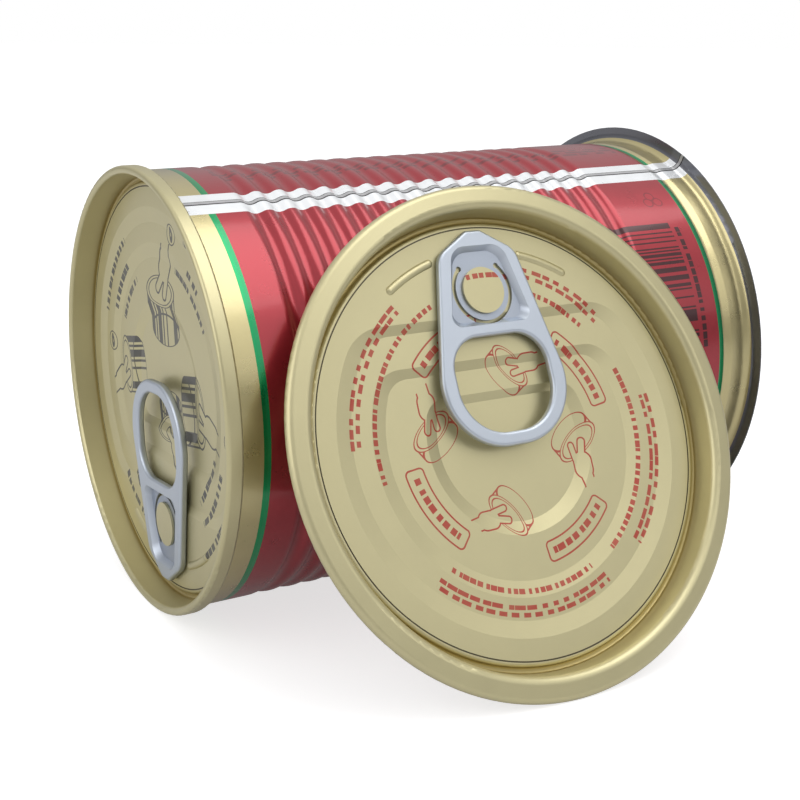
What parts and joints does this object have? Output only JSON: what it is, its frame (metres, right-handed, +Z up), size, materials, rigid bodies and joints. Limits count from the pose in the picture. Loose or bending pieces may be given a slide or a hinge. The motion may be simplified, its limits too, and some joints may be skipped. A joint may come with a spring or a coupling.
{
  "type": "food can",
  "caption": "Opened ring-pull food can lying on its side: beaded and printed body, seamed easy-open end, and the other easy-open end leaning loose against it.",
  "frame": {"origin": "centre of the bounding box at floor level", "axes": "+X along the lying can from its seamed end to its open flange, +Y from the loose end to the can, +Z up"},
  "size_m": [0.1182, 0.1174, 0.0903],
  "materials": {
    "printed_wall": "gloss",
    "end_lacquer": "satin",
    "tab_steel": "satin"
  },
  "bodies": {
    "root": {"can_body": "printed_wall", "seamed_end": "end_lacquer", "seamed_end_tab": "tab_steel", "loose_end": "end_lacquer", "loose_end_tab": "tab_steel"}
  },
  "joints": []
}
